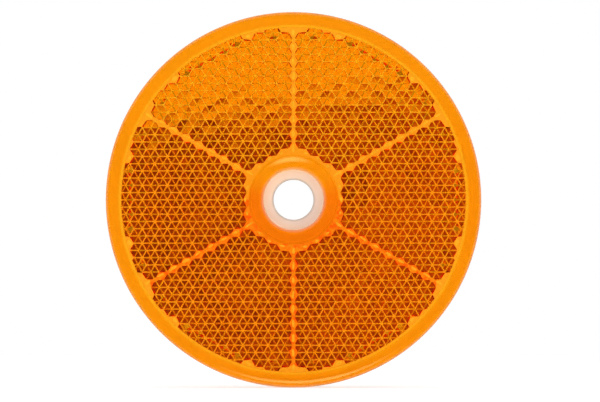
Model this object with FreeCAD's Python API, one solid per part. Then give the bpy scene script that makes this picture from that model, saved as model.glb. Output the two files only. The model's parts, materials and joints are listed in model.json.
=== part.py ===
import FreeCAD, Part
import math
import os

# Round reflector: an amber prism lens closed from behind by a white plate.
# All sizes are in millimetres. Heights are measured forward from the mounting face.

# Lens outline
lens_diameter = 60.0
front_height = 7.0
web_thickness = 2.4
edge_radius = 1.4
rim_width = 2.4

# Lens hole, with a rounded mouth at the front and a boss round it at the back
lens_hole_diameter = 9.6
mouth_radius = 2.8
boss_wall = 2.5

# Back plate
base_inset = 0.3
base_thickness = 2.0
base_edge_chamfer = 0.3
bolt_hole_diameter = 6.4
bolt_hole_chamfer = 0.2

# Prism field on the back of the web
cell_radius = 1.335
sector_gap = 0.15
field_rim_clearance = 0.1
field_boss_clearance = 0.05

# Places that follow from the sizes above
root_height = front_height - web_thickness
lens_radius = lens_diameter / 2
rim_inner = lens_radius - rim_width
lens_hole = lens_hole_diameter / 2
boss_radius = lens_hole + boss_wall
field_outer = rim_inner - field_rim_clearance
field_inner = boss_radius + field_boss_clearance

# Corner cubes seen along their diagonal are hexagons, packed in six like sectors
hexagon = 6
sector_count = 6
sector_angle = 360.0 / sector_count
half_sector = math.radians(sector_angle / 2)
angle_slack = 1e-6
corner_step = cell_radius / math.sqrt(2)
row_pitch = math.sqrt(3) * cell_radius
column_pitch = 1.5 * cell_radius
root_overlap = web_thickness / 4

origin = FreeCAD.Vector(0, 0, 0)
bore_axis = FreeCAD.Vector(0, 0, 1)
level_axis = FreeCAD.Vector(1, 0, 0)


def point(radius, height):
    """A point of a turned profile, in the plane that holds the axis."""
    return FreeCAD.Vector(radius, 0, height)


def line(first, second):
    return Part.makeLine(first, second)


def arc(first, middle, last):
    return Part.Arc(first, middle, last).toShape()


def quarter(centre, radius, first_angle):
    """A quarter circle in the profile plane, from first_angle through the next 90 degrees."""
    points = []
    for turn in (0, 45, 90):
        angle = math.radians(first_angle + turn)
        points.append(centre + point(radius * math.cos(angle), radius * math.sin(angle)))
    return arc(*points)


def turned(edges):
    """The solid swept by a closed profile round the axis."""
    face = Part.Face(Part.Wire(edges))
    return face.revolve(origin, bore_axis, 360)


def lens_body():
    """The lens without its prisms: web, rim and boss in one turned solid."""
    mouth_centre = point(lens_hole + mouth_radius, front_height - mouth_radius)
    edge_centre = point(lens_radius - edge_radius, front_height - edge_radius)
    hole_back = point(lens_hole, base_thickness)
    hole_front = point(lens_hole, mouth_centre.z)
    mouth_end = point(mouth_centre.x, front_height)
    edge_start = point(edge_centre.x, front_height)
    edge_end = point(lens_radius, edge_centre.z)
    rim_outside = point(lens_radius, base_thickness)
    rim_inside = point(rim_inner, base_thickness)
    rim_root = point(rim_inner, root_height)
    boss_root = point(boss_radius, root_height)
    boss_end = point(boss_radius, base_thickness)
    return turned([
        line(hole_back, hole_front),
        quarter(mouth_centre, mouth_radius, 90),
        line(mouth_end, edge_start),
        quarter(edge_centre, edge_radius, 0),
        line(edge_end, rim_outside),
        line(rim_outside, rim_inside),
        line(rim_inside, rim_root),
        line(rim_root, boss_root),
        line(boss_root, boss_end),
        line(boss_end, hole_back),
    ])


def hexagon_corners(x, y):
    corners = []
    for index in range(hexagon):
        angle = 2 * math.pi * index / hexagon
        corners.append((x + cell_radius * math.cos(angle), y + cell_radius * math.sin(angle)))
    return corners


def cell_is_kept(x, y):
    """True for a cell inside its sector and clear of the boss, with its centre inside the rim."""
    corners = hexagon_corners(x, y)
    if any(abs(math.atan2(v, u)) > half_sector + angle_slack for u, v in corners):
        return False
    if math.hypot(x, y) > field_outer:
        return False
    nearest = math.hypot(x, y)
    for index, (u, v) in enumerate(corners):
        s, t = corners[(index + 1) % hexagon]
        nearest = min(nearest, math.hypot(u, v), math.hypot((u + s) / 2, (v + t) / 2))
    return nearest >= field_inner


def cell_centres():
    """Centres of one sector's cells. Its first cell stands in the corner between two dividers."""
    centres = []
    first = 2 * cell_radius + sector_gap
    columns = int(lens_radius / column_pitch)
    rows = int(lens_radius / row_pitch)
    for column in range(columns + 1):
        x = first + column * column_pitch
        for row in range(-rows, rows + 1):
            y = (row + (column % 2) / 2) * row_pitch
            if cell_is_kept(x, y):
                centres.append((x, y))
    return centres


def polygon(points):
    return Part.Face(Part.makePolygon(points + [points[0]]))


def rounded(position):
    return round(position[0], 6), round(position[1], 6)


def sector_prisms():
    """One sector's corner cubes as solids that reach a little way into the web."""
    cap = root_height + root_overlap
    apex = root_height - 2 * corner_step
    corner_heights = (root_height - corner_step, root_height)
    faces = []
    borders = {}
    for x, y in cell_centres():
        corners = hexagon_corners(x, y)
        back = []
        front = []
        for index, (u, v) in enumerate(corners):
            back.append(FreeCAD.Vector(u, v, corner_heights[index % 2]))
            front.append(FreeCAD.Vector(u, v, cap))
        tip = FreeCAD.Vector(x, y, apex)
        for index in range(0, hexagon, 2):
            faces.append(polygon([tip, back[index], back[index + 1], back[(index + 2) % hexagon]]))
        faces.append(polygon(front))
        for index in range(hexagon):
            after = (index + 1) % hexagon
            key = tuple(sorted((rounded(corners[index]), rounded(corners[after]))))
            side = [back[index], back[after], front[after], front[index]]
            borders.setdefault(key, []).append(side)
    for sides in borders.values():
        if len(sides) == 1:
            faces.append(polygon(sides[0]))
    skin = Part.Compound(faces)
    skin.sewShape()
    solids = []
    for shell in skin.Shells:
        solid = Part.Solid(shell)
        if solid.Volume < 0:
            solid.reverse()
        solids.append(solid)
    return solids


def lens():
    """The turned body with the prism sectors, trimmed at the rim, fused to the back of its web."""
    rim = Part.makeCylinder(field_outer, front_height)
    trimmed = [solid.common(rim) for solid in sector_prisms()]
    prisms = []
    for index in range(sector_count):
        for solid in trimmed:
            copy = solid.copy()
            copy.rotate(origin, bore_axis, sector_angle * index)
            prisms.append(copy)
    return lens_body().fuse(prisms)


def back_plate():
    """The flat disc that the rim and the boss are welded to, with the bolt hole through it."""
    bolt = bolt_hole_diameter / 2
    base = lens_radius - base_inset
    corners = [
        point(bolt, 0),
        point(base - base_edge_chamfer, 0),
        point(base, base_edge_chamfer),
        point(base, base_thickness),
        point(bolt + bolt_hole_chamfer, base_thickness),
        point(bolt, base_thickness - bolt_hole_chamfer),
    ]
    return turned(Part.makePolygon(corners + [corners[0]]).Edges)


def upright(shape):
    """Turns the part from lying face up to facing -Y, with its own up along +Z."""
    standing = shape.copy()
    standing.rotate(origin, level_axis, 90)
    return standing


os.makedirs("parts", exist_ok=True)
upright(lens()).exportStep("parts/lens.step")
upright(back_plate()).exportStep("parts/back_plate.step")
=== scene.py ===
import json
import math
import random
import bmesh
import bpy
from mathutils import Matrix, Vector


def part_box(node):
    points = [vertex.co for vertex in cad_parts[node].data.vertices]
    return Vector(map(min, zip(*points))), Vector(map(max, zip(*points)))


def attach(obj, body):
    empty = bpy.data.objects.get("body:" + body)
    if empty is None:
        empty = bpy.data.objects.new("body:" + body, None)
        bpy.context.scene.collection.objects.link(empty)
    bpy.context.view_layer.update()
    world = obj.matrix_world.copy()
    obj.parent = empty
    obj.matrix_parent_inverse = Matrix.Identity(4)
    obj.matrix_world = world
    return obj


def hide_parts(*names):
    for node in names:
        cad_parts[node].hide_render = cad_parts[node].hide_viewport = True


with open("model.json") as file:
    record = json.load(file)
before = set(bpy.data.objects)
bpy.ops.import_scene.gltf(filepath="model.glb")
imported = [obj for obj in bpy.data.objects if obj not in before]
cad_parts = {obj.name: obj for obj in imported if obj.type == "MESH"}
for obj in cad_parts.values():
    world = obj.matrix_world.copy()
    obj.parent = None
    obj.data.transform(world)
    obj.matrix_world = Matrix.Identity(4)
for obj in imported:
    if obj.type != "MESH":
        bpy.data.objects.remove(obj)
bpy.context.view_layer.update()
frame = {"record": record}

# Back plate: the flat white ABS disc that closes the reflector from behind, thin enough to let light through.
# It is one moulding with the bolt hole through its middle. Round the hole, in the boss's recess, its front is
# painted with shade tinted pink as by light through the amber, and a thin painted shadow darkens the hole's
# edge.
# The lens's rim and boss are welded to its front face.
MM = 0.001
plate_low, plate_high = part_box("back_plate")
mounts = {mount["name"]: mount for mount in frame["record"]["mounts"]}
base_radius = plate_high.x
base_thickness = -plate_low.y
bolt_radius = mounts["bolt_hole"]["dims"]["r_mm"] * MM
weld_gap = 0.02 * MM
seat_height = base_thickness - weld_gap
base_edge = 0.3 * MM
bolt_edge = 0.2 * MM
small_edge = 0.12 * MM
edge_segments = 4
small_segments = 3
crease = math.radians(35)
turn_steps = 192
full_turn = 2 * math.pi
touch = 1e-6
origin = (0, 0, 0)
bore_axis = (0, 0, 1)
upright = Matrix.Rotation(math.pi / 2, 3, "X")
scene = bpy.context.scene


def turned(outline, closed):
    """A mesh of the outline's (radius, height) points spun a full turn about the bore's axis."""
    bm = bmesh.new()
    verts = [bm.verts.new((radius, 0, height)) for radius, height in outline]
    pairs = list(zip(verts, verts[1:]))
    if closed:
        pairs.append((verts[-1], verts[0]))
    edges = [bm.edges.new(pair) for pair in pairs]
    bmesh.ops.spin(bm, geom=verts + edges, cent=origin, axis=bore_axis, angle=full_turn,
                   steps=turn_steps, use_merge=True)
    bmesh.ops.remove_doubles(bm, verts=bm.verts, dist=touch)
    return bm


def ring(bm, radius, height):
    """The edges of the circle at that radius and height."""
    def on_ring(vert):
        return abs(vert.co.xy.length - radius) < touch and abs(vert.co.z - height) < touch
    return [edge for edge in bm.edges if on_ring(edge.verts[0]) and on_ring(edge.verts[1])]


def round_ring(bm, radius, height, size, segments):
    """Rounds the circular edge at that radius and height."""
    bmesh.ops.bevel(bm, geom=ring(bm, radius, height), offset=size, offset_type="OFFSET",
                    segments=segments, profile=0.5, affect="EDGES", clamp_overlap=False, material=-1)
    bmesh.ops.remove_doubles(bm, verts=bm.verts, dist=touch)


def mark_sharp(bm):
    """Smooths the shading, except over edges that turn by more than the crease."""
    for face in bm.faces:
        face.smooth = True
    for edge in bm.edges:
        edge.smooth = len(edge.link_faces) == 2 and edge.calc_face_angle(0) < crease


def new_piece(bm, name):
    """An object at the origin, made of the mesh."""
    mesh = bpy.data.meshes.new(name)
    bm.to_mesh(mesh)
    bm.free()
    piece = bpy.data.objects.new(name, mesh)
    scene.collection.objects.link(piece)
    return piece


def stand_up(bm, name):
    """Turns the mesh to face -Y with its faces outwards, and makes an object of it."""
    bmesh.ops.rotate(bm, verts=bm.verts, cent=origin, matrix=upright)
    bmesh.ops.recalc_face_normals(bm, faces=bm.faces)
    return new_piece(bm, name)


def weigh_normals(piece):
    """Keeps the flat faces flat beside their rounded edges."""
    weighted = piece.modifiers.new("flat_faces", "WEIGHTED_NORMAL")
    weighted.keep_sharp = True


plate_outline = [
    (bolt_radius, 0),
    (base_radius, 0),
    (base_radius, seat_height),
    (bolt_radius, seat_height),
]
bm = turned(plate_outline, closed=True)
round_ring(bm, base_radius, 0, base_edge, edge_segments)
round_ring(bm, base_radius, seat_height, small_edge, small_segments)
round_ring(bm, bolt_radius, seat_height, bolt_edge, edge_segments)
round_ring(bm, bolt_radius, 0, bolt_edge, edge_segments)
mark_sharp(bm)
plate = stand_up(bm, "back_plate_moulding")
weigh_normals(plate)


def new_finish(piece, name):
    """The node tree of a new material on the piece."""
    finish = bpy.data.materials.new(name)
    finish.use_nodes = True
    piece.data.materials.append(finish)
    return finish.node_tree


def feed(tree, socket, value):
    """Links the value to the socket where it is another node's output, and otherwise sets it."""
    if isinstance(value, bpy.types.NodeSocket):
        tree.links.new(value, socket)
    else:
        socket.default_value = value


def object_place(tree):
    """The place on the piece, in the piece's own coordinates."""
    return tree.nodes.new("ShaderNodeTexCoord").outputs["Object"]


def along_axes(tree, place):
    """The place's three coordinates, by the names of their axes."""
    parts = tree.nodes.new("ShaderNodeSeparateXYZ")
    tree.links.new(place, parts.inputs["Vector"])
    return parts.outputs


def noise(tree, place, scale, detail):
    """A noise of that scale and detail."""
    node = tree.nodes.new("ShaderNodeTexNoise")
    tree.links.new(place, node.inputs["Vector"])
    feed(tree, node.inputs["Scale"], scale)
    node.inputs["Detail"].default_value = detail
    return node.outputs["Fac"]


def mapped(tree, value, low=0.0, high=1.0, to_low=0.0, to_high=1.0, smooth=False):
    """The value with the range from low to high mapped to another, and held at its ends."""
    node = tree.nodes.new("ShaderNodeMapRange")
    if smooth:
        node.interpolation_type = "SMOOTHSTEP"
    tree.links.new(value, node.inputs["Value"])
    feed(tree, node.inputs["From Min"], low)
    feed(tree, node.inputs["From Max"], high)
    feed(tree, node.inputs["To Min"], to_low)
    feed(tree, node.inputs["To Max"], to_high)
    return node.outputs["Result"]


def mixed(tree, factor, first, second, kind="RGBA"):
    """A mix of two colours, or of two numbers where the kind is FLOAT."""
    node = tree.nodes.new("ShaderNodeMix")
    node.data_type = kind
    tree.links.new(factor, node.inputs["Factor"])
    feed(tree, node.inputs["A"], first)
    feed(tree, node.inputs["B"], second)
    return node.outputs["Result"]


def reckoned(tree, operation, *values):
    """What the operation makes of the numbers."""
    node = tree.nodes.new("ShaderNodeMath")
    node.operation = operation
    for socket, value in zip(node.inputs, values):
        feed(tree, socket, value)
    return node.outputs["Value"]


def reckoned_vector(tree, operation, *values):
    """What the operation makes of the vectors: its Vector or its Value."""
    node = tree.nodes.new("ShaderNodeVectorMath")
    node.operation = operation
    for socket, value in zip(node.inputs, values):
        feed(tree, socket, value)
    return node.outputs


def mixed_surface(tree, share, first, second):
    """Makes the material's surface a mix of two shaders, with that share of the second."""
    blend = tree.nodes.new("ShaderNodeMixShader")
    feed(tree, blend.inputs["Fac"], share)
    tree.links.new(first, blend.inputs[1])
    tree.links.new(second, blend.inputs[2])
    tree.links.new(blend.outputs["Shader"], tree.nodes["Material Output"].inputs["Surface"])


blotch_detail = 3
fine_detail = 2
grain_ratio = 14
skin = bpy.data.node_groups.new("moulded_skin", "ShaderNodeTree")
skin.interface.new_socket("Scale", in_out="INPUT", socket_type="NodeSocketFloat")
skin.interface.new_socket("Blotch", in_out="OUTPUT", socket_type="NodeSocketFloat")
skin.interface.new_socket("Grain", in_out="OUTPUT", socket_type="NodeSocketFloat")
scale = skin.nodes.new("NodeGroupInput").outputs["Scale"]
result = skin.nodes.new("NodeGroupOutput")
place = object_place(skin)
grain_scale = reckoned(skin, "MULTIPLY", scale, grain_ratio)
skin.links.new(noise(skin, place, scale, blotch_detail), result.inputs["Blotch"])
skin.links.new(noise(skin, place, grain_scale, fine_detail), result.inputs["Grain"])


def moulded_skin(tree, scale):
    """The blotches and the grain of a moulded surface."""
    surface = tree.nodes.new("ShaderNodeGroup")
    surface.node_tree = skin
    surface.inputs["Scale"].default_value = scale
    return surface.outputs["Blotch"], surface.outputs["Grain"]


plate_grey = (0.85, 0.84, 0.815, 1)
plate_pale = (0.94, 0.94, 0.925, 1)
# Painted shade: the two colours of the shaded ring round the bolt hole, pinker as if lit through the amber.
hole_edge_shadow = (0.4, 0.37, 0.34, 1)
recess_shade_pink = (0.7, 0.62, 0.59, 1)
plate_skin_scale = 130
shade_radius = 4.6 * MM
unshaded_radius = 5.2 * MM
face_plane = (1, 0, 1)
satin_low = 0.32
satin_high = 0.52
grain_strength = 0.4
grain_height = 0.02 * MM
light_through = 0.22

tree = new_finish(plate, "plate_white_abs")
shader = tree.nodes["Principled BSDF"]
blotch, grain = moulded_skin(tree, plate_skin_scale)
place = object_place(tree)
across = reckoned_vector(tree, "MULTIPLY", place, face_plane)["Vector"]
reach = reckoned_vector(tree, "LENGTH", across)["Value"]
# Painted shade: round the bolt hole the front is darker and pinker, with a darker painted shadow along the
# hole's edge.
past_shade = mapped(tree, reach, shade_radius, unshaded_radius)
behind = mapped(tree, along_axes(tree, place)["Y"], bolt_edge - base_thickness,
                2 * bolt_edge - base_thickness)
unshaded = reckoned(tree, "MAXIMUM", past_shade, behind)
off_bolt = mapped(tree, reach, bolt_radius, bolt_radius + 2 * bolt_edge)
painted_shade = mixed(tree, off_bolt, hole_edge_shadow, recess_shade_pink)
colour = mixed(tree, unshaded, painted_shade, mixed(tree, blotch, plate_grey, plate_pale))
tree.links.new(colour, shader.inputs["Base Color"])
tree.links.new(mapped(tree, grain, to_low=satin_low, to_high=satin_high), shader.inputs["Roughness"])
bump = tree.nodes.new("ShaderNodeBump")
bump.inputs["Strength"].default_value = grain_strength
bump.inputs["Distance"].default_value = grain_height
tree.links.new(grain, bump.inputs["Height"])
tree.links.new(bump.outputs["Normal"], shader.inputs["Normal"])
through = tree.nodes.new("ShaderNodeBsdfTranslucent")
tree.links.new(colour, through.inputs["Color"])
mixed_surface(tree, light_through, shader.outputs["BSDF"], through.outputs["BSDF"])
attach(plate, "root")
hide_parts("back_plate")

# Lens: the amber acrylic moulding. Its front is polished flat, and rounded into the hole and at the rim.
# The back of its web carries the corner-cube prisms, in six sectors that mirror each other.
# Moulded in one shot, it stands on the plate with its rim and its boss and is welded there.
lens_low, lens_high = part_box("lens")
lens_radius = lens_high.x
front_height = -lens_low.y
lens_hole = mounts["head_recess"]["dims"]["r_mm"] * MM
mouth_radius = 2.8 * MM
mouth_segments = 20
boss_wall = 2.5 * MM
edge_radius = 1.4 * MM
rim_segments = 12
web_thickness = 2.4 * MM
rim_width = 2.4 * MM
foot_step = 0.45 * MM
foot_rise = 1.8 * MM
root_height = front_height - web_thickness
boss_radius = lens_hole + boss_wall
rim_inner = lens_radius - rim_width

cell_radius = 1.335 * MM
sector_gap = 0.15 * MM
field_rim_clearance = 0.1 * MM
field_boss_clearance = 0.05 * MM
field_outer = rim_inner - field_rim_clearance
field_inner = boss_radius + field_boss_clearance
edge_flat = 0.15 * MM
jitter = 0.008 * MM
hexagon = 6
corner_turn = full_turn / hexagon
sector_count = 6
half_sector = math.pi / sector_count
rim_planes = 180
corner_step = cell_radius / math.sqrt(2)
row_pitch = math.sqrt(3) * cell_radius
column_pitch = 1.5 * cell_radius
column_count = int(lens_radius / column_pitch)
row_count = int(lens_radius / row_pitch)
divider_half = 0.3 * MM
seam_touch = 10 * touch

# Painted highlights: small pale spots on the lands, left unstained and a little frosted, stand for yellow
# glints: streaks along every divider set towards its upper side, spots by the rim, and spots in the notches
# beside the boss.
streak_length = 0.62 * MM
streak_width = 0.22 * MM
streak_rise = 0.17 * MM
rim_spot = 0.32 * MM
rim_spot_breadth = 0.48 * MM
rim_spot_clearance = 0.45 * MM
rim_reach = 0.4 * MM
notch_depth = 0.17 * MM
notch_breadth = 0.38 * MM
notch_clearance = 0.36 * MM
spot_corners = 10
spot_least = 0.75
spot_most = 1.15
spot_shift = 0.08 * MM
spot_turn = math.radians(8)

# The finish reads three values that each face carries: how frosted it is, how deeply it is stained, and
# whether it is a wall that stands up from the web. A lighter stain towards the top is painted light; the
# walls carry painted shade.
face_marks = ("frost", "stain_and_light", "wall")
spot_frost = 0.3
wall_frost = 0.4
boss_stain = 0.6
pale_stain = 0.5
rim_land = 1.0 * MM
# Painted light: the boss's stain fades out between these heights, towards its top.
painted_light_from = 0.1
painted_light_to = 0.65
moulding_seed = 7
rng = random.Random(moulding_seed)


def add_marks(bm):
    """Gives the mesh's faces the values that the finish reads."""
    return [bm.faces.layers.float.new(name) for name in face_marks]


def everything(bm):
    """All of the mesh's corners, edges and faces."""
    return bm.verts[:] + bm.edges[:] + bm.faces[:]


def in_sector(x, y):
    """True for a cell that lies whole between its sector's two dividers."""
    for step in range(hexagon):
        turn = full_turn * step / hexagon
        u = x + cell_radius * math.cos(turn)
        v = y + cell_radius * math.sin(turn)
        if abs(math.atan2(v, u)) > half_sector + touch:
            return False
    return True


def nearest_radius(x, y):
    """How near the cell comes to the bore's axis, at its corners and the middles of its sides."""
    nearest = math.hypot(x, y)
    for step in range(2 * hexagon):
        turn = math.pi * step / hexagon
        reach = cell_radius if step % 2 == 0 else cell_radius * math.cos(math.pi / hexagon)
        nearest = min(nearest, math.hypot(x + reach * math.cos(turn), y + reach * math.sin(turn)))
    return nearest


def add_cell(bm, x, y):
    """One corner cube: a hexagon whose middle and every other corner stand out of the web."""
    place = Matrix.Translation((x, y, root_height)) @ Matrix.Rotation(math.pi / hexagon, 4, "Z")
    fan = bmesh.ops.create_circle(bm, cap_ends=True, cap_tris=True, segments=hexagon,
                                  radius=cell_radius, matrix=place)["verts"]
    for vert in fan:
        out = vert.co - Vector((x, y, root_height))
        if out.length < touch:
            vert.co.z -= 2 * corner_step
            middle = vert
        elif round(math.atan2(out.y, out.x) / corner_turn) % 2 == 0:
            vert.co.z -= corner_step
    flat = [edge for edge in middle.link_edges if edge.other_vert(middle).co.z > root_height - touch]
    bmesh.ops.dissolve_edges(bm, edges=flat)


def spot_place(radius, heading, half_length, half_width, rise):
    """Where a painted glint spot lies on the lands, how it is turned and how large it is, each a little off.
    """
    stretch = rng.uniform(spot_least, spot_most)
    swell = rng.uniform(spot_least, spot_most)
    shift_out = rng.uniform(-spot_shift, spot_shift)
    shift_across = rng.uniform(-spot_shift, spot_shift)
    twist = rng.uniform(-spot_turn, spot_turn)
    shift = Vector((shift_out, shift_across, root_height))
    lift = rise * math.cos(heading)
    return (Matrix.Rotation(heading, 4, "Z")
            @ Matrix.Translation(shift + Vector((radius, lift, 0)))
            @ Matrix.Rotation(twist, 4, "Z")
            @ Matrix.Diagonal((half_length * stretch, half_width * swell, 1, 1)))


bm = bmesh.new()
frost, stain_and_light, wall = add_marks(bm)
glint_spots = []
for column in range(column_count):
    x = 2 * cell_radius + sector_gap + column * column_pitch
    for row in range(-row_count, row_count + 1):
        y = (row + (column % 2) / 2) * row_pitch
        if not in_sector(x, y):
            continue
        middle = math.hypot(x, y)
        if middle <= field_outer and nearest_radius(x, y) >= field_inner:
            add_cell(bm, x, y)
        elif field_outer < middle < field_outer + rim_reach:
            turn = math.atan2(y, x)
            glint_spots.append((field_outer - rim_spot_clearance, turn, rim_spot, rim_spot_breadth, 0))
        elif boss_radius - cell_radius / 2 < middle < field_outer:
            turn = math.atan2(y, x + cell_radius)
            glint_spots.append((boss_radius + notch_clearance, turn, notch_depth, notch_breadth, 0))
for step in range(row_count):
    along = (step + 1 / 2) * row_pitch + sector_gap * math.cos(half_sector)
    if field_inner + streak_length < along < field_outer - streak_length:
        glint_spots.append((along, half_sector, streak_length, streak_width, streak_rise))
bmesh.ops.remove_doubles(bm, verts=bm.verts, dist=touch)
bmesh.ops.spin(bm, geom=everything(bm), cent=origin, axis=bore_axis, angle=full_turn,
               steps=sector_count, use_duplicate=True)
bmesh.ops.remove_doubles(bm, verts=bm.verts, dist=touch)
for vert in bm.verts:
    vert.co.z += rng.uniform(-jitter, jitter)
bmesh.ops.recalc_face_normals(bm, faces=bm.faces)
inner_edges = [edge for edge in bm.edges if len(edge.link_faces) == 2]
flats = bmesh.ops.bevel(bm, geom=inner_edges, offset=edge_flat, offset_type="OFFSET", segments=1,
                        profile=0.5, affect="EDGES", clamp_overlap=True, material=-1)["faces"]
for face in flats:
    face[frost] = 1
for step in range(rim_planes):
    turn = full_turn * step / rim_planes
    out = Vector((math.cos(turn), math.sin(turn), 0))
    bmesh.ops.bisect_plane(bm, geom=everything(bm), dist=touch, plane_co=out * field_outer,
                           plane_no=out, clear_outer=True)
for sector in range(sector_count):
    turn = (2 * sector + 1) * half_sector
    along = Vector((math.cos(turn), math.sin(turn), 0))
    across = Vector((-math.sin(turn), math.cos(turn), 0))
    for side in (across, -across):
        beside = [face for face in bm.faces
                  if face.calc_center_median().dot(along) > 0
                  and -cell_radius < face.calc_center_median().dot(side) < 0]
        edges = list(dict.fromkeys(edge for face in beside for edge in face.edges))
        verts = list(dict.fromkeys(vert for face in beside for vert in face.verts))
        bmesh.ops.bisect_plane(bm, geom=verts + edges + beside, dist=touch,
                               plane_co=side * -divider_half, plane_no=side, clear_outer=True)
bmesh.ops.remove_doubles(bm, verts=bm.verts, dist=seam_touch)
border = [edge for edge in bm.edges if len(edge.link_faces) == 1]
for item in bmesh.ops.extrude_edge_only(bm, edges=border)["geom"]:
    if isinstance(item, bmesh.types.BMVert):
        item.co.z = root_height
    elif isinstance(item, bmesh.types.BMFace):
        item[frost] = wall_frost
        item[wall] = 1
# Painted highlights: the glint spots, pale against the stained lands, are laid on in every sector.
for sector in range(sector_count):
    for radius, turn, half_length, half_width, rise in glint_spots:
        heading = turn + 2 * sector * half_sector
        place = spot_place(radius, heading, half_length, half_width, rise)
        outline = bmesh.ops.create_circle(bm, cap_ends=True, segments=spot_corners, radius=1,
                                          matrix=place)["verts"]
        outline[0].link_faces[0][frost] = spot_frost
prism_mesh = bpy.data.meshes.new("prisms")
bm.to_mesh(prism_mesh)
bm.free()

lens_outline = [
    (boss_radius, root_height),
    (boss_radius, base_thickness),
    (lens_hole, base_thickness),
    (lens_hole, front_height),
    (lens_radius, front_height),
    (lens_radius, base_thickness),
    (rim_inner + foot_step, base_thickness),
    (rim_inner + foot_step, base_thickness + foot_rise),
    (rim_inner, base_thickness + foot_rise),
    (rim_inner, root_height),
]
bm = turned(lens_outline, closed=False)
frost, stain_and_light, wall = add_marks(bm)
round_ring(bm, lens_hole, front_height, mouth_radius, mouth_segments)
round_ring(bm, lens_radius, front_height, edge_radius, rim_segments)
round_ring(bm, lens_radius, base_thickness, small_edge, small_segments)
mark_sharp(bm)
bm.from_mesh(prism_mesh)
land_edges = [edge for edge in bm.edges if len(edge.link_faces) == 1]
land = bmesh.ops.triangle_fill(bm, use_beauty=True, use_dissolve=False, edges=land_edges,
                               normal=bore_axis)
# The lands are stained deep orange. In the upper half they take the paler stain, which is painted light from
# above; within rim_land of the field's edge they are paler too.
for item in land["geom"]:
    if isinstance(item, bmesh.types.BMFace):
        middle = item.calc_center_median()
        paler = middle.y > 0 or middle.xy.length > field_outer - rim_land
        item[stain_and_light] = pale_stain if paler else 1
# Painted light: on the boss's bottom face the stain fades towards the top, so its upper half looks paler, as
# if lit from above.
for face in bm.faces:
    middle = face.calc_center_median()
    if middle.xy.length < boss_radius - small_edge and abs(middle.z - base_thickness) < touch:
        height = middle.y / middle.xy.length
        paler = (height - painted_light_from) / (painted_light_to - painted_light_from)
        face[stain_and_light] = boss_stain * (1 - min(max(paler, 0), 1))
    elif abs(middle.xy.length - rim_inner) < small_edge and middle.z < root_height - touch:
        face[frost] = wall_frost
for edge in bm.edges:
    if len(edge.link_faces) == 2 and not all(face.smooth for face in edge.link_faces):
        edge.smooth = False
lens = stand_up(bm, "lens_moulding")
weigh_normals(lens)

acrylic_index = 1.49
dye_colour = (0.997, 0.882, 0.25, 1)
dye_density = 1100
clear_white = (1, 1, 1, 1)
edge_pink = (1, 0.56, 0.52, 1)
edge_cream = (1, 0.84, 0.76, 1)
land_red = (1, 0.07, 0.03, 1)
land_orange = (1, 0.37, 0.1, 1)
wall_shade_brown = (0.4, 0.25, 0.1, 1)
lens_skin_scale = 260
polish_haze = 0.03
frost_rough = 0.6
stain_rough = 0.3
fleck_scale = 1300
fleck_low = 0.38
fleck_high = 0.62
even_mix = 0.5
painted_light_fade = 8 * MM


def face_mark(tree, name):
    """The value of that name that the faces carry."""
    mark = tree.nodes.new("ShaderNodeAttribute")
    mark.attribute_name = name
    return mark.outputs["Fac"]


tree = new_finish(lens, "lens_amber_acrylic")
shader = tree.nodes["Principled BSDF"]
shader.inputs["IOR"].default_value = acrylic_index
shader.inputs["Transmission Weight"].default_value = 1.0
blotch, grain = moulded_skin(tree, lens_skin_scale)
frosted = face_mark(tree, "frost")
stained = face_mark(tree, "stain_and_light")
haze = mapped(tree, grain, to_high=polish_haze)
rough = mapped(tree, frosted, to_low=haze, to_high=frost_rough)
tree.links.new(reckoned(tree, "MULTIPLY_ADD", stained, stain_rough, rough), shader.inputs["Roughness"])

place = object_place(tree)
parts = along_axes(tree, place)
# Painted light: above the two upper dividers, fading in below them, the frosted lines lose their pink tint
# and look paler, as if lit from above.
aside = reckoned(tree, "ABSOLUTE", parts["X"])
over_dividers = reckoned(tree, "MULTIPLY_ADD", aside, -math.tan(half_sector), parts["Z"])
painted_light_top = mapped(tree, over_dividers, -painted_light_fade, divider_half)
edge_tint = mixed(tree, painted_light_top, mixed(tree, blotch, edge_pink, edge_cream), clear_white)
tint = mixed(tree, frosted, clear_white, edge_tint)
fleck = mapped(tree, noise(tree, place, fleck_scale, fine_detail), fleck_low, fleck_high)
flecked = mixed(tree, mapped(tree, stained, boss_stain), even_mix, fleck, kind="FLOAT")
land_tint = mixed(tree, stained, tint, mixed(tree, flecked, land_red, land_orange))
# Painted shade: the walls that stand up from the web are tinted dark brown, so that the cut cells along the
# borders look dark.
colour = mixed(tree, face_mark(tree, "wall"), land_tint, wall_shade_brown)
tree.links.new(colour, shader.inputs["Base Color"])

rays = tree.nodes.new("ShaderNodeLightPath")
clear = tree.nodes.new("ShaderNodeBsdfTransparent")
mixed_surface(tree, rays.outputs["Is Shadow Ray"], shader.outputs["BSDF"], clear.outputs["BSDF"])
dye = tree.nodes.new("ShaderNodeVolumeAbsorption")
dye.inputs["Color"].default_value = dye_colour
dye.inputs["Density"].default_value = dye_density
tree.links.new(dye.outputs["Volume"], tree.nodes["Material Output"].inputs["Volume"])
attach(lens, "root")
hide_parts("lens")

# Studio: a white world, dark towards the camera, a pale floor, and soft lamps before the lens and overhead.
# A dark half tent keeps reflections off the polished front, apart from a soft round glow below it.
# A painted card before the lens is what the corner cubes send the eye back to.
card_distance = 0.12
card_half = 0.04
card_slope = (-0.13, 0, 1)
card_dark_to = 10.3 * MM
card_bright_from = 16 * MM
card_side = 25 * MM
card_left_level = 0.8
card_right_level = 1.35
card_brown = (0.22, 0.045, 0.01, 1)
card_rust = (0.5, 0.15, 0.03, 1)
card_yellow = (1.1, 0.8, 0.35, 1)
mottle_scale = 200
mottle_low = 0.3
mottle_high = 0.7


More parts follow.
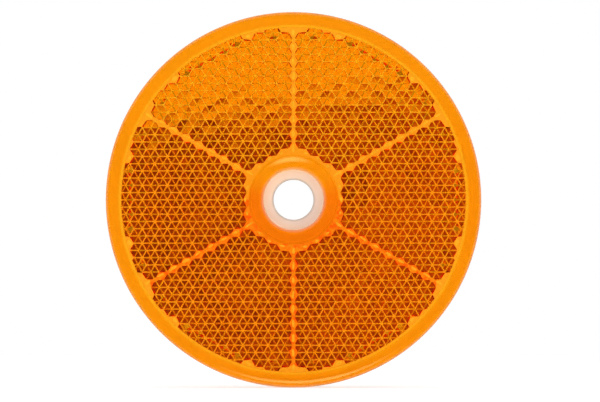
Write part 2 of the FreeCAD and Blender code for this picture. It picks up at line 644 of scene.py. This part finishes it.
def stage_piece(bm, name):
    """An object of the mesh for the studio round the reflector, and the node tree of its paint."""
    piece = new_piece(bm, name)
    return piece, new_finish(piece, name + "_paint")


def paint_matt(tree, colour):
    """Makes the paint matt and of that colour, and gives its shader."""
    shader = tree.nodes["Principled BSDF"]
    shader.inputs["Base Color"].default_value = colour
    shader.inputs["Roughness"].default_value = 1.0
    shader.inputs["Specular IOR Level"].default_value = 0.0
    return shader


def glowing(piece, tree):
    """Makes the piece glow without being sampled as a lamp, and gives the glow's node."""
    glow = tree.nodes.new("ShaderNodeEmission")
    tree.links.new(glow.outputs["Emission"], tree.nodes["Material Output"].inputs["Surface"])
    piece.data.materials[0].cycles.emission_sampling = "NONE"
    return glow


def seen_in_lens(piece, reflected):
    """Keeps the piece out of sight, but for rays that the lens reflects or else lets through."""
    piece.visible_camera = False
    piece.visible_diffuse = False
    piece.visible_shadow = False
    piece.visible_glossy = reflected
    piece.visible_transmission = not reflected


bm = bmesh.new()
bmesh.ops.create_grid(bm, x_segments=1, y_segments=1, size=card_half)
bmesh.ops.rotate(bm, verts=bm.verts, cent=origin, matrix=upright)
bmesh.ops.translate(bm, verts=bm.verts, vec=(0, -card_distance, 0))
card, tree = stage_piece(bm, "graded_card")
seen_in_lens(card, reflected=False)
place = object_place(tree)
climb = reckoned_vector(tree, "DOT_PRODUCT", place, card_slope)["Value"]
height = mapped(tree, climb, card_dark_to, card_bright_from, smooth=True)
mottle = mapped(tree, noise(tree, place, mottle_scale, fine_detail), mottle_low, mottle_high)
sideways = mapped(tree, along_axes(tree, place)["X"], -card_side, card_side,
                  card_left_level, card_right_level)
graded = tree.nodes.new("ShaderNodeVectorMath")
graded.operation = "SCALE"
tree.links.new(mixed(tree, mottle, card_brown, card_rust), graded.inputs[0])
tree.links.new(sideways, graded.inputs["Scale"])
tone = mixed(tree, height, graded.outputs["Vector"], card_yellow)
tree.links.new(tone, glowing(card, tree).inputs["Color"])

tent_radius = 0.45
tent_black = (0.03, 0.03, 0.03, 1)
round_segments = 48
bm = bmesh.new()
bmesh.ops.create_uvsphere(bm, u_segments=round_segments, v_segments=round_segments // 2, radius=tent_radius)
bmesh.ops.bisect_plane(bm, geom=everything(bm), dist=touch, plane_co=origin, plane_no=(0, 1, 0),
                       clear_outer=True)
tent, tree = stage_piece(bm, "black_tent")
paint_matt(tree, tent_black)
seen_in_lens(tent, reflected=True)

glow_distance = 0.4
glow_lean = math.radians(46)
glow_side = 0.03
glow_radius = 0.19
glow_core = 0.04
glow_strength = 7.0
glow_amber = (1, 0.75, 0.25, 1)
glow_forward = -glow_distance * math.cos(glow_lean)
glow_down = -glow_distance * math.sin(glow_lean)
glow_centre = Vector((glow_side, glow_forward, glow_down))
bm = bmesh.new()
bmesh.ops.create_circle(bm, cap_ends=True, segments=round_segments, radius=glow_radius)
bmesh.ops.rotate(bm, verts=bm.verts, cent=origin,
                 matrix=Matrix.Rotation(glow_lean - math.pi / 2, 3, "X"))
bmesh.ops.translate(bm, verts=bm.verts, vec=glow_centre)
soft_light, tree = stage_piece(bm, "highlight_card")
seen_in_lens(soft_light, reflected=True)
reach = reckoned_vector(tree, "DISTANCE", object_place(tree), glow_centre)["Value"]
fall = mapped(tree, reach, glow_core, glow_radius, glow_strength, 0.0, smooth=True)
glow = glowing(soft_light, tree)
glow.inputs["Color"].default_value = glow_amber
tree.links.new(fall, glow.inputs["Strength"])

floor_half = 1.5
floor_pale = (0.95, 0.95, 0.95, 1)
shadow_near = 0.03
shadow_far = 0.2
near_white = 0.6
bm = bmesh.new()
bmesh.ops.create_grid(bm, x_segments=1, y_segments=1, size=floor_half)
bmesh.ops.translate(bm, verts=bm.verts, vec=(0, 0, lens_low.z))
floor, tree = stage_piece(bm, "floor")
shader = paint_matt(tree, floor_pale)
floor.visible_glossy = False
floor.visible_shadow = False
floor.visible_diffuse = False
rays = tree.nodes.new("ShaderNodeLightPath")
reach = reckoned_vector(tree, "LENGTH", object_place(tree))["Value"]
fade = mapped(tree, reach, shadow_near, shadow_far, near_white, smooth=True)
share = reckoned(tree, "MULTIPLY", rays.outputs["Is Camera Ray"], fade)
white = tree.nodes.new("ShaderNodeEmission")
mixed_surface(tree, share, shader.outputs["BSDF"], white.outputs["Emission"])

lamp_distance = 0.6
lamp_size = 0.35
lamp_power = 1.75
overhead_power = 2.4
lamp_lean = math.radians(38)
overhead = math.pi / 2
quarter_turn = math.pi / 2
lamps = [
    ("lamp_right", 0, lamp_lean, lamp_power),
    ("lamp_top", 1, lamp_lean, lamp_power),
    ("lamp_left", 2, lamp_lean, lamp_power),
    ("lamp_below", 3, lamp_lean, lamp_power),
    ("lamp_overhead", 1, overhead, overhead_power),
]
for name, turns, lean, power in lamps:
    turn = turns * quarter_turn
    lamp_data = bpy.data.lights.new(name, "AREA")
    lamp_data.size = lamp_size
    lamp_data.energy = power
    lamp = bpy.data.objects.new(name, lamp_data)
    out = Vector((math.sin(lean) * math.cos(turn), -math.cos(lean), math.sin(lean) * math.sin(turn)))
    lamp.location = out * lamp_distance
    lamp.rotation_euler = out.to_track_quat("Z", "Y").to_euler()
    lamp.visible_glossy = False
    lamp.visible_transmission = False
    scene.collection.objects.link(lamp)

world_dark_to = -0.85
world_light_from = -0.6
world_dark = 0.05
world_light = 0.65
world_white = (1, 1, 1, 1)
world = bpy.data.worlds.new("studio")
world.use_nodes = True
scene.world = world
tree = world.node_tree
background = tree.nodes["Background"]
background.inputs["Color"].default_value = world_white
place = tree.nodes.new("ShaderNodeTexCoord").outputs["Generated"]
side = mapped(tree, along_axes(tree, place)["Y"], world_dark_to, world_light_from,
              world_dark, world_light, smooth=True)
rays = tree.nodes.new("ShaderNodeLightPath")
level = reckoned(tree, "MAXIMUM", side, rays.outputs["Is Camera Ray"])
tree.links.new(level, background.inputs["Strength"])

# Camera: square on to the reflector through a long lens, framed as the photograph is.
# Its outline falls on the photograph's pixels, and light may bounce often enough to cross the prisms.
camera_distance = 0.9
photo_width = 600
photo_height = 402
photo_centre = (293.5, 199.8)
photo_radius = 187.8
sensor = 36.0
lens_bounces = 24
mirror_bounces = 16
silhouette = front_height - edge_radius
pixels_per_metre = photo_radius / lens_radius
camera_data = bpy.data.cameras.new("camera")
camera_data.sensor_width = sensor
camera_data.lens = sensor * pixels_per_metre * (camera_distance - silhouette) / photo_width
camera_data.shift_x = (photo_width / 2 - photo_centre[0]) / photo_width
camera_data.shift_y = (photo_centre[1] - photo_height / 2) / photo_width
camera = bpy.data.objects.new("camera", camera_data)
camera.location = (0, -camera_distance, 0)
camera.rotation_euler = (math.pi / 2, 0, 0)
scene.collection.objects.link(camera)
scene.camera = camera
scene.view_settings.view_transform = "Standard"
scene.cycles.max_bounces = lens_bounces
scene.cycles.glossy_bounces = mirror_bounces
scene.cycles.transmission_bounces = lens_bounces
